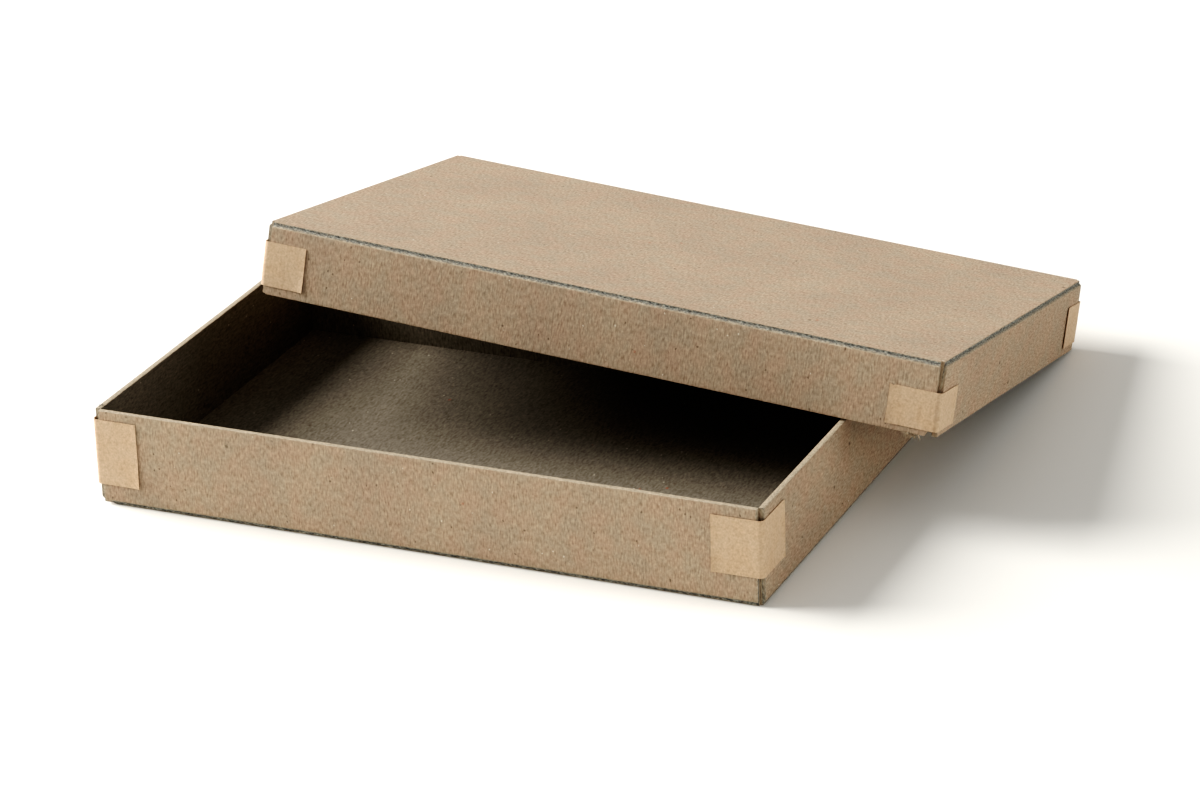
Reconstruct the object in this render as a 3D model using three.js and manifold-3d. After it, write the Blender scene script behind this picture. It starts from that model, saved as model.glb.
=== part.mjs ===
// Folio box: a shallow open tray and its lift-off lid. Each half is one piece of grey chipboard,
// cut through half its thickness along four lines, folded up into four walls and held at the
// corners by pasted paper stays. The lid leans askew on the tray, as it was left.
// Millimetres, +Z up. The origin is the centre of the tray's underside.

import * as THREE from 'three';
import { mergeVertices } from 'three/addons/utils/BufferGeometryUtils.js';
import Module from 'manifold-3d';

const wasm = await Module();
wasm.setup();

// Driving sizes of the two halves
const TRAY_WIDTH = 168;
const TRAY_DEPTH = 111;
const TRAY_HEIGHT = 23.8;
const LID_HEIGHT = 17.8;
const BOARD = 1.4;

// Free play between the tray's walls and the closed lid's, on each side
const LID_CLEARANCE = 0.3;

// The cut along each fold opens as the wall is turned up: the panel shows a cut edge this high,
// set in from the wall's face, and the wall's own cut end slopes away from it
const SCORE_DEPTH = 0.72;
const SCORE_SET_IN = 0.8;
const SCORE_ON_WALL = 1.45;

// The walls' ends stop short of each other at the corners
const CORNER_SLACK = 0.3;

// Corners of the board that are clipped or torn off: along the wall, and up or down it
const TRAY_CLIP = { run: 2.6, rise: 1.35 };
const LID_TEAR = { run: 1.4, rise: 2.6 };

// Paper stays: the strip's thickness, the gap that the paste fills and the bend at the corner
const STAY_THICKNESS = 0.2;
const PASTE = 0.3;
const STAY_BEND = 0.8;
const STAY_BEND_STEPS = 6;

// Each stay was set by hand. along and around are its reach on the front or back wall and on the
// side wall, rise is its lower edge above the tray's underside or the lid's rim, and length is
// its height.
const TRAY_STAYS = {
  front_left: { along: 11.2, around: 11.4, rise: 5.2, length: 16.4 },
  front_right: { along: 12.3, around: 12.6, rise: 7.2, length: 14.0 },
  back_left: { along: 11.6, around: 11.8, rise: 6.0, length: 15.0 },
  back_right: { along: 11.9, around: 11.5, rise: 5.6, length: 15.6 },
};
const LID_STAYS = {
  front_left: { along: 11.0, around: 11.9, rise: 2.2, length: 10.8 },
  front_right: { along: 12.3, around: 11.6, rise: 1.4, length: 9.2 },
  back_left: { along: 11.4, around: 11.8, rise: 2.6, length: 10.0 },
  back_right: { along: 11.7, around: 11.3, rise: 2.0, length: 10.4 },
};

// How the lid lies: its front wall crosses the tray's right rim, its left wall crosses the tray's
// back rim, and the right end of its back wall stands on the table
const CROSSING_FROM_FRONT = 53.2;
const CROSSING_FROM_LEFT = 18.7;
const LID_TURN_DEGREES = 0.66;
const REST_GAP = 0.3;
const STEEPEST_LEAN_DEGREES = 20;
const LEAN_STEPS = 60;

// How far a cutting solid runs past the face that it opens
const OVERRUN = 2;

const LID_WIDTH = TRAY_WIDTH + 2 * (BOARD + LID_CLEARANCE);
const LID_DEPTH = TRAY_DEPTH + 2 * (BOARD + LID_CLEARANCE);

const CORNERS = {
  front_left: [-1, -1],
  front_right: [1, -1],
  back_left: [-1, 1],
  back_right: [1, 1],
};

const chipboard = new THREE.MeshStandardMaterial({ color: 0xb4a084, roughness: 0.95, metalness: 0 });
const lidChipboard = new THREE.MeshStandardMaterial({ color: 0xbfaa8c, roughness: 0.95, metalness: 0 });
const kraftPaper = new THREE.MeshStandardMaterial({ color: 0xd2b48c, roughness: 0.8, metalness: 0 });

// Solids from three.js geometry, and geometry back from solids

function solidFrom(geometry) {
  const bare = geometry.clone();
  bare.deleteAttribute('normal');
  bare.deleteAttribute('uv');
  const merged = mergeVertices(bare);
  return new wasm.Manifold(new wasm.Mesh({
    numProp: 3,
    vertProperties: new Float32Array(merged.attributes.position.array),
    triVerts: new Uint32Array(merged.index.array),
  }));
}

function geometryFrom(solid) {
  const mesh = solid.getMesh();
  const geometry = new THREE.BufferGeometry();
  geometry.setAttribute('position', new THREE.BufferAttribute(mesh.vertProperties, mesh.numProp));
  geometry.setIndex(new THREE.BufferAttribute(mesh.triVerts, 1));
  geometry.computeVertexNormals();
  return geometry;
}

function block(low, high) {
  const size = high.map((value, axis) => value - low[axis]);
  const middle = high.map((value, axis) => (value + low[axis]) / 2);
  return solidFrom(new THREE.BoxGeometry(...size).translate(...middle));
}

// A closed outline in the plane of X and Y, drawn up along Z from zero
function extruded(points, height) {
  const outline = new THREE.Shape(points.map(([x, y]) => new THREE.Vector2(x, y)));
  return new THREE.ExtrudeGeometry(outline, { depth: height, bevelEnabled: false });
}

// The four walls of a half. Each has its own frame: X along the wall to the right as seen from
// outside, Y inwards from its outer face, Z up from the panel's outer face.
function wallFrames(width, depth) {
  const quarter = Math.PI / 2;
  return {
    front: { length: width, turn: 0, place: [0, -depth / 2] },
    right: { length: depth, turn: quarter, place: [width / 2, 0] },
    back: { length: width, turn: 2 * quarter, place: [0, depth / 2] },
    left: { length: depth, turn: 3 * quarter, place: [-width / 2, 0] },
  };
}

function placedOnWall(geometry, wall) {
  return solidFrom(geometry.rotateZ(wall.turn).translate(...wall.place, 0));
}

// The open groove that the half-through cut leaves along a fold
function scoreGroove(wall) {
  const slope = (SCORE_ON_WALL - SCORE_DEPTH) / SCORE_SET_IN;
  const section = [
    [-OVERRUN, -OVERRUN],
    [SCORE_SET_IN, -OVERRUN],
    [SCORE_SET_IN, SCORE_DEPTH],
    [-OVERRUN, SCORE_ON_WALL + slope * OVERRUN],
  ];
  const run = wall.length + 2 * OVERRUN;
  const prism = extruded(section, run);
  // The section's own X and Y become the wall's Y and Z, and its length lies along the wall
  const lay = new THREE.Matrix4().makeBasis(
    new THREE.Vector3(0, 1, 0),
    new THREE.Vector3(0, 0, 1),
    new THREE.Vector3(1, 0, 0),
  );
  return placedOnWall(prism.applyMatrix4(lay).translate(-run / 2, 0, 0), wall);
}

// A slanting cut across one corner of a wall. end is -1 for the wall's left end and 1 for its
// right one, and level is the height of the edge that loses its corner.
function cornerClip(wall, end, level, { run, rise }) {
  const tip = end * (wall.length / 2 - BOARD - CORNER_SLACK);
  const upward = level > 0 ? -1 : 1;
  const triangle = [
    [tip - 2 * end * run, level - upward * rise],
    [tip + end * run, level + 2 * upward * rise],
    [tip + end * run, level - upward * rise],
  ];
  const through = BOARD + OVERRUN;
  const prism = extruded(triangle, through);
  // The triangle stands up in the wall's plane and is drawn outwards through the board
  const stand = new THREE.Matrix4().makeRotationX(Math.PI / 2);
  return placedOnWall(prism.applyMatrix4(stand).translate(0, BOARD, 0), wall);
}

// One half, standing on its panel: a cross-shaped blank with its four walls turned up
function foldedHalf(width, depth, height, clips) {
  const halfWidth = width / 2;
  const halfDepth = depth / 2;
  const walls = wallFrames(width, depth);
  let half = block([-halfWidth, -halfDepth, 0], [halfWidth, halfDepth, height]);
  half = half.subtract(block(
    [-halfWidth + BOARD, -halfDepth + BOARD, BOARD],
    [halfWidth - BOARD, halfDepth - BOARD, height + OVERRUN],
  ));
  for (const [sideX, sideY] of Object.values(CORNERS)) {
    // The square that is missing from the blank, and the walls' slack above the panel
    for (const [reach, foot] of [[BOARD, -OVERRUN], [BOARD + CORNER_SLACK, BOARD]]) {
      const x = [sideX * (halfWidth - reach), sideX * (halfWidth + OVERRUN)];
      const y = [sideY * (halfDepth - reach), sideY * (halfDepth + OVERRUN)];
      half = half.subtract(block(
        [Math.min(...x), Math.min(...y), foot],
        [Math.max(...x), Math.max(...y), height + OVERRUN],
      ));
    }
  }
  for (const wall of Object.values(walls)) {
    half = half.subtract(scoreGroove(wall));
  }
  for (const { wall, end, level, size } of clips) {
    half = half.subtract(cornerClip(walls[wall], end, level, size));
  }
  return geometryFrom(half);
}

// A stay: a strip of paper that turns round the corner with a soft bend
function cornerStay(width, depth, [sideX, sideY], { along, around, rise, length }) {
  const inner = [];
  const outer = [];
  for (let step = 0; step <= STAY_BEND_STEPS; step += 1) {
    const angle = -Math.PI / 2 - (step / STAY_BEND_STEPS) * Math.PI / 2;
    const ray = [Math.cos(angle), Math.sin(angle)];
    const reach = STAY_BEND + PASTE;
    inner.push(ray.map((part) => STAY_BEND + part * reach));
    outer.push(ray.map((part) => STAY_BEND + part * (reach + STAY_THICKNESS)));
  }
  const face = -PASTE;
  const skin = -PASTE - STAY_THICKNESS;
  // Measured from the corner: X along the front or back wall, Y along the side wall
  const plan = [
    [along, skin],
    ...outer,
    [skin, around],
    [face, around],
    ...inner.reverse(),
    [along, face],
  ];
  const points = plan.map(([x, y]) => [sideX * (width / 2 - x), sideY * (depth / 2 - y)]);
  return extruded(points, length).translate(0, 0, rise);
}

// Where the lid lies. The inner lower edges of its front and left walls touch the outer edges of
// the tray's right and back rims, so its inner front left corner follows from the slope of its
// front wall. The slope is the one that brings the end of its back wall down to the table.
function lidPoseAt(lean) {
  const turn = THREE.MathUtils.degToRad(LID_TURN_DEGREES);
  const seat = TRAY_HEIGHT + REST_GAP;
  const rightTouch = new THREE.Vector3(TRAY_WIDTH / 2, CROSSING_FROM_FRONT - TRAY_DEPTH / 2, seat);
  const backTouch = new THREE.Vector3(CROSSING_FROM_LEFT - TRAY_WIDTH / 2, TRAY_DEPTH / 2, seat);
  const alongFront = new THREE.Vector3(
    Math.cos(lean) * Math.cos(turn),
    Math.cos(lean) * Math.sin(turn),
    -Math.sin(lean),
  );
  const reach = rightTouch.clone().sub(backTouch).dot(alongFront);
  const innerCorner = rightTouch.clone().addScaledVector(alongFront, -reach);
  const alongSide = backTouch.clone().sub(innerCorner).normalize();
  const footing = innerCorner.clone()
    .addScaledVector(alongFront, LID_WIDTH - 2 * BOARD - CORNER_SLACK)
    .addScaledVector(alongSide, LID_DEPTH - BOARD);
  return { alongFront, alongSide, innerCorner, footing };
}

function lidPlacement() {
  let low = 0;
  let high = THREE.MathUtils.degToRad(STEEPEST_LEAN_DEGREES);
  for (let step = 0; step < LEAN_STEPS; step += 1) {
    const middle = (low + high) / 2;
    if (lidPoseAt(middle).footing.z > 0) {
      low = middle;
    } else {
      high = middle;
    }
  }
  const { alongFront, alongSide, innerCorner } = lidPoseAt(low);
  const upwards = alongFront.clone().cross(alongSide);
  const centre = innerCorner.clone()
    .addScaledVector(alongFront, LID_WIDTH / 2 - BOARD)
    .addScaledVector(alongSide, LID_DEPTH / 2 - BOARD);
  return new THREE.Matrix4().makeBasis(alongFront, alongSide, upwards).setPosition(centre);
}

function named(name, geometry, material) {
  const mesh = new THREE.Mesh(geometry, material);
  mesh.name = name;
  return mesh;
}

function addStays(group, prefix, width, depth, stays) {
  for (const [corner, stay] of Object.entries(stays)) {
    const geometry = cornerStay(width, depth, CORNERS[corner], stay);
    group.add(named(`${prefix}_stay_${corner}`, geometry, kraftPaper));
  }
}

function buildTray() {
  const clips = [{ wall: 'front', end: -1, level: 0, size: TRAY_CLIP }];
  const tray = new THREE.Group();
  tray.add(named('tray', foldedHalf(TRAY_WIDTH, TRAY_DEPTH, TRAY_HEIGHT, clips), chipboard));
  addStays(tray, 'tray', TRAY_WIDTH, TRAY_DEPTH, TRAY_STAYS);
  return tray;
}

// The lid's own frame has its rim in the plane of X and Y and its panel above
function buildLid() {
  // The half is turned over about Y, so its left end is the lid's right one
  const clips = [{ wall: 'front', end: -1, level: LID_HEIGHT, size: LID_TEAR }];
  const board = named('lid', foldedHalf(LID_WIDTH, LID_DEPTH, LID_HEIGHT, clips), lidChipboard);
  board.rotation.y = Math.PI;
  board.position.z = LID_HEIGHT;
  const lid = new THREE.Group();
  lid.add(board);
  addStays(lid, 'lid', LID_WIDTH, LID_DEPTH, LID_STAYS);
  lid.applyMatrix4(lidPlacement());
  return lid;
}

const group = new THREE.Group();
group.add(buildTray(), buildLid());
group.updateMatrixWorld(true);

export default group;
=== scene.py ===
"""Folio box of bare chipboard: an open tray with its lift-off lid left leaning askew on it.

Each half is one sheet of board, cut half through along four folds, turned up into four walls and
held at its corners by pasted paper stays. Metres, Z up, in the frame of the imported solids.
"""

import logging
import math
import random
from dataclasses import dataclass, field
from enum import Enum
from typing import Iterable, Sequence

import bmesh
import bpy
from mathutils import Matrix, Vector, noise


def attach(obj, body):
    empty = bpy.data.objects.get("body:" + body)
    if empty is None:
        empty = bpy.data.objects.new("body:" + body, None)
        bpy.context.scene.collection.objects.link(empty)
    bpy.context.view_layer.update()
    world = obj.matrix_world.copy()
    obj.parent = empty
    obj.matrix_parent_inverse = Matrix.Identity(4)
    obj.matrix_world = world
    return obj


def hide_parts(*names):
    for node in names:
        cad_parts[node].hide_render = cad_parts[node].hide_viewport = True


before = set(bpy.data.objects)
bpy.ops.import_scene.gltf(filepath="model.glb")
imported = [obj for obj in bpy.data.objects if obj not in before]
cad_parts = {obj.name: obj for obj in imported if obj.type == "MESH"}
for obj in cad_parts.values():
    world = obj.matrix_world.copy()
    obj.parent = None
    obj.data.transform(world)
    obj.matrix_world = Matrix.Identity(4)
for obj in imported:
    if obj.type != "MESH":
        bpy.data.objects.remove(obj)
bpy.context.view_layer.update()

MM = 0.001
LOG = logging.getLogger("folio_box")

Colour = tuple[float, float, float]

# What leaves a colour as it is when the two are multiplied
AS_IT_IS: Colour = (1.0, 1.0, 1.0)


# The board's own sizes, the same in both halves


@dataclass(frozen=True)
class BoardStock:
    """Grey chipboard and the knife cuts that let it fold.

    Attributes:
        thickness: The board's thickness.
        score_depth: How deep the panel's cut edge stands at an open score.
        score_set_in: How far that edge lies in from the wall's face.
        score_on_wall: Where the wall's sloping cut meets its face, up from the panel's face.
        corner_press: How far two walls press into each other along a corner's inner line.
        rim_round: How far the cut rim is rounded by handling.
    """

    thickness: float = 1.4 * MM
    score_depth: float = 0.60 * MM
    score_set_in: float = 0.62 * MM
    score_on_wall: float = 1.18 * MM
    corner_press: float = 0.04 * MM
    rim_round: float = 0.16 * MM


class Stance(Enum):
    """Which way up a half lies."""

    PANEL_DOWN = "panel down"
    PANEL_UP = "panel up"


class Side(Enum):
    """The four walls, each with its direction along the wall and its direction inwards."""

    FRONT = ((1.0, 0.0), (0.0, 1.0))
    RIGHT = ((0.0, 1.0), (-1.0, 0.0))
    BACK = ((-1.0, 0.0), (0.0, -1.0))
    LEFT = ((0.0, -1.0), (1.0, 0.0))

    @property
    def along(self) -> Vector:
        """The direction along the wall, to the right as seen from outside."""
        return Vector((*self.value[0], 0.0))

    @property
    def inward(self) -> Vector:
        """The direction from the wall's outer face into the half."""
        return Vector((*self.value[1], 0.0))

    @property
    def is_long(self) -> bool:
        """Whether the wall runs along the half's width."""
        return self in (Side.FRONT, Side.BACK)


class Corner(Enum):
    """The four corners, each with -1 or 1 for left or right and for front or back."""

    FRONT_LEFT = (-1, -1)
    FRONT_RIGHT = (1, -1)
    BACK_LEFT = (-1, 1)
    BACK_RIGHT = (1, 1)


# Where a half lies


@dataclass(frozen=True)
class Seat:
    """The place, turn and outer sizes of a half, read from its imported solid.

    Attributes:
        place: Turns the half's own frame into the shared one. Its own frame has Z up and its
            lowest plane, the tray's panel or the lid's rim, at zero.
        width: The size along the front wall.
        depth: The size from front to back.
        height: The size from the panel's face to the rim.
    """

    place: Matrix
    width: float
    depth: float
    height: float

    @classmethod
    def of_node(cls, node: str) -> "Seat":
        """Read a half's seat from the large flat faces of its solid.

        Args:
            node: The name of the half's solid.

        Returns:
            The seat of that half.
        """
        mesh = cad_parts[node].data
        sums = [Vector(), Vector(), Vector()]
        for polygon in mesh.polygons:
            for axis in range(3):
                if abs(polygon.normal[axis]) > 0.9:
                    sums[axis] += polygon.normal * math.copysign(polygon.area, polygon.normal[axis])
        up = sums[2].normalized()
        back = (sums[1] - up * sums[1].dot(up)).normalized()
        right = back.cross(up)
        spans = []
        for direction in (right, back, up):
            reach = [vertex.co.dot(direction) for vertex in mesh.vertices]
            spans.append((min(reach), max(reach)))
        (left, far_right), (front, far_back), (low, high) = spans
        origin = right * (left + far_right) / 2 + back * (front + far_back) / 2 + up * low
        place = Matrix((right, back, up)).transposed().to_4x4()
        place.translation = origin
        return cls(place, far_right - left, far_back - front, high - low)


# Sheets while they are being built


class SheetMesh:
    """Gathers the points and faces of a sheet and the marks that its finish reads.

    Each point also has its place on the flat, uncut sheet, so that the grain runs on over a fold,
    and a mark of how far it lies in a cut: 0 on the sheet's face, 0.5 on a cut rim and 1 deep in
    the core.
    """

    def __init__(self, place: Matrix) -> None:
        """Start an empty sheet.

        Args:
            place: Turns the sheet's own frame into the shared one.
        """
        self.place = place
        self.points: list[Vector] = []
        self.flat: list[Vector] = []
        self.cut: list[float] = []
        self.faces: list[tuple[int, ...]] = []

    def point(self, at: Vector, flat: Vector, cut: float) -> int:
        """Add a point, held above the table.

        Args:
            at: Its place in the sheet's own frame.
            flat: Its place on the flat sheet, with the depth through the sheet as Z.
            cut: How far it lies in a cut.

        Returns:
            The point's number.
        """
        spot = self.place @ at
        spot.z = max(spot.z, 0.0)
        self.points.append(spot)
        self.flat.append(flat)
        self.cut.append(cut)
        return len(self.points) - 1

    def face(self, corners: Sequence[int]) -> None:
        """Add a face, leaving out corners that are named twice in a row."""
        kept = [corner for at, corner in enumerate(corners) if corner != corners[at - 1]]
        if len(kept) > 2:
            self.faces.append(tuple(kept))

    def grid(self, rows: Sequence[Sequence[int]]) -> None:
        """Join rows of points of one length with four-cornered faces."""
        for near, far in zip(rows, rows[1:]):
            for at in range(len(near) - 1):
                self.face((near[at], near[at + 1], far[at + 1], far[at]))

    def made(self, name: str, material: bpy.types.Material, crease: float) -> bpy.types.Object:
        """Turn the gathered sheet into an object.

        Args:
            name: The object's name.
            material: Its finish.
            crease: The angle, in degrees, from which an edge is drawn sharp.

        Returns:
            The object, linked to the scene.
        """
        mesh = bpy.data.meshes.new(name)
        mesh.from_pydata([tuple(point) for point in self.points], [], self.faces)
        flat = mesh.attributes.new("sheet", "FLOAT_VECTOR", "POINT")
        flat.data.foreach_set("vector", [part for spot in self.flat for part in spot])
        cut = mesh.attributes.new("cut", "FLOAT", "POINT")
        cut.data.foreach_set("value", self.cut)
        shape = bmesh.new()
        shape.from_mesh(mesh)
        bmesh.ops.recalc_face_normals(shape, faces=shape.faces)
        shape.to_mesh(mesh)
        shape.free()
        mesh.shade_smooth()
        mesh.set_sharp_from_angle(angle=math.radians(crease))
        mesh.materials.append(material)
        made = bpy.data.objects.new(name, mesh)
        bpy.context.scene.collection.objects.link(made)
        return made


# Finishes


class Wiring:
    """Adds nodes to one material and links them."""

    def __init__(self, name: str) -> None:
        """Make the material and keep its shader at hand.

        Args:
            name: The material's name.
        """
        self.material = bpy.data.materials.new(name)
        self.material.use_nodes = True
        self.tree = self.material.node_tree
        self.shader = self.tree.nodes["Principled BSDF"]

    def node(self, kind: str, feeds: dict[str | int, object] | None = None,
             **settings: object) -> bpy.types.Node:
        """Add a node.

        Args:
            kind: Its kind.
            feeds: What goes into its sockets, by their names or numbers.
            settings: Its named properties.

        Returns:
            The node.
        """
        node = self.tree.nodes.new(kind)
        for name, value in settings.items():
            setattr(node, name, value)
        for socket, value in (feeds or {}).items():
            self.feed(node.inputs[socket], value)
        return node

    def feed(self, socket: bpy.types.NodeSocket, value: object) -> None:
        """Link a socket to what another node gives, or set it to a fixed value.

        Args:
            socket: The socket.
            value: Another node's output, a number or a colour.
        """
        if isinstance(value, bpy.types.NodeSocket):
            self.tree.links.new(value, socket)
        elif isinstance(value, tuple) and len(value) == 3 and socket.type == "RGBA":
            socket.default_value = (*value, 1.0)
        else:
            socket.default_value = value

    def attribute(self, name: str) -> bpy.types.Node:
        """Read a mark that the mesh carries."""
        return self.node("ShaderNodeAttribute", attribute_name=name)

    def maths(self, operation: str, first: object, second: object) -> bpy.types.NodeSocket:
        """Work out one number from two."""
        return self.node("ShaderNodeMath", {0: first, 1: second}, operation=operation).outputs[0]

    def vector(self, operation: str, first: object, second: object) -> bpy.types.NodeSocket:
        """Work out one place from two."""
        return self.node("ShaderNodeVectorMath", {0: first, 1: second},
                         operation=operation).outputs[0]

    def stretched(self, place: object, by: Colour) -> bpy.types.NodeSocket:
        """Scale a place along its three axes.

        Args:
            place: The place to scale.
            by: The three factors, in features per metre of sheet.

        Returns:
            The scaled place.
        """
        return self.vector("MULTIPLY", place, by)

    def noise(self, place: object, by: Colour, detail: float = 3.0,
              rough: float = 0.55) -> bpy.types.NodeSocket:
        """A soft random pattern.

        Args:
            place: Where to read it.
            by: Features per metre along each axis of the sheet.
            detail: How many finer layers it has.
            rough: How strong the finer layers are.

        Returns:
            The pattern, about 0.5 on average.
        """
        return self.node("ShaderNodeTexNoise", {
            "Vector": self.stretched(place, by), "Scale": 1.0, "Detail": detail,
            "Roughness": rough}).outputs["Fac"]

    def ramp(self, factor: object, stops: Iterable[tuple[float, Colour]]) -> bpy.types.NodeSocket:
        """Turn a number into a colour.

        Args:
            factor: The number.
            stops: Places from 0 to 1, each with its colour.

        Returns:
            The colour.
        """
        node = self.node("ShaderNodeValToRGB", {"Fac": factor})
        elements = node.color_ramp.elements
        stops = list(stops)
        for at, (place, colour) in enumerate(stops):
            element = elements[at] if at < 2 else elements.new(place)
            element.position = place
            element.color = (*colour, 1.0)
        return node.outputs["Color"]

    def level(self, factor: object, low: float, high: float, to_low: float = 0.0,
              to_high: float = 1.0) -> bpy.types.NodeSocket:
        """Spread a span of a number over another span, held at its ends.

        Args:
            factor: The number.
            low: Where the span starts.
            high: Where it ends.
            to_low: What the start becomes.
            to_high: What the end becomes.

        Returns:
            The new number.
        """
        return self.node("ShaderNodeMapRange", {
            "Value": factor, "From Min": low, "From Max": high, "To Min": to_low,
            "To Max": to_high}).outputs["Result"]

    def mixed(self, factor: object, first: object, second: object,
              blend: str = "MIX") -> bpy.types.NodeSocket:
        """Mix two colours.

        Args:
            factor: How much of the second colour is taken.
            first: The first colour.
            second: The second colour.
            blend: How the two are mixed.

        Returns:
            The mixed colour.
        """
        return self.node("ShaderNodeMix", {0: factor, 6: first, 7: second}, data_type="RGBA",
                         blend_type=blend).outputs[2]

    def tinted(self, colour: object, factor: object, stops: Iterable[tuple[float, Colour]],
               amount: float = 1.0) -> bpy.types.NodeSocket:
        """Make a colour lighter or darker by a pattern.

        Args:
            colour: The colour.
            factor: The pattern.
            stops: Places in the pattern, each with what the colour is multiplied by there.
            amount: How much of this is taken.

        Returns:
            The new colour.
        """
        return self.mixed(amount, colour, self.ramp(factor, stops), "MULTIPLY")

    def flecks(self, place: object, by: Colour, share: float, size: float,
               shift: float) -> bpy.types.NodeSocket:
        """Sparse small spots, each a chance meeting of a cell and its number.

        Args:
            place: Where to read them.
            by: Cells per metre along each axis of the sheet.
            share: The share of cells that hold a spot.
            size: A spot's size as a share of its cell.
            shift: Moves the pattern, so that no two kinds of spot fall together.

        Returns:
            1 in a spot and 0 elsewhere, soft at its edge.
        """
        moved = self.vector("ADD", self.stretched(place, by), (shift, shift * 0.7, shift * 0.3))
        cells = self.node("ShaderNodeTexVoronoi", {"Vector": moved, "Scale": 1.0}, feature="F1")
        near = self.level(cells.outputs["Distance"], size * 0.55, size, 1.0, 0.0)
        lot = self.node("ShaderNodeSeparateColor", {0: cells.outputs["Color"]})
        chosen = self.level(lot.outputs[0], 1.0 - share, 1.0 - share * 0.9)
        return self.maths("MULTIPLY", near, chosen)

    def ragged(self, place: object, by: float, reach: float) -> bpy.types.NodeSocket:
        """Shake a place, so that what is read there has torn edges.

        Args:
            place: The place to shake.
            by: Features of the shaking per metre.
            reach: How far it moves the place.

        Returns:
            The shaken place.
        """
        shake = self.node("ShaderNodeTexNoise", {
            "Vector": self.stretched(place, (by, by, by)), "Scale": 1.0, "Detail": 1.0})
        centred = self.vector("SUBTRACT", shake.outputs["Color"], (0.5, 0.5, 0.5))
        return self.vector("ADD", place, self.stretched(centred, (2 * reach,) * 3))

    def relief(self, patterns: Iterable[tuple[object, float]], distance: float,
               strength: float) -> None:
        """Give the shader a fine relief.

        Args:
            patterns: Two patterns, each with its share of the relief.
            distance: How high 1 stands.
            strength: How strongly it shows.
        """
        height = self.maths("ADD", *(self.maths("MULTIPLY", pattern, share)
                                     for pattern, share in patterns))
        bump = self.node("ShaderNodeBump", {
            "Strength": strength, "Distance": distance, "Height": height})
        self.feed(self.shader.inputs["Normal"], bump.outputs["Normal"])

    def surface(self, colour: object, roughness: object, gloss: float) -> None:
        """Give the shader its colour, its roughness and its gloss."""
        for name, value in (("Base Color", colour), ("Roughness", roughness),
                            ("Specular IOR Level", gloss)):
            self.feed(self.shader.inputs[name], value)


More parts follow.
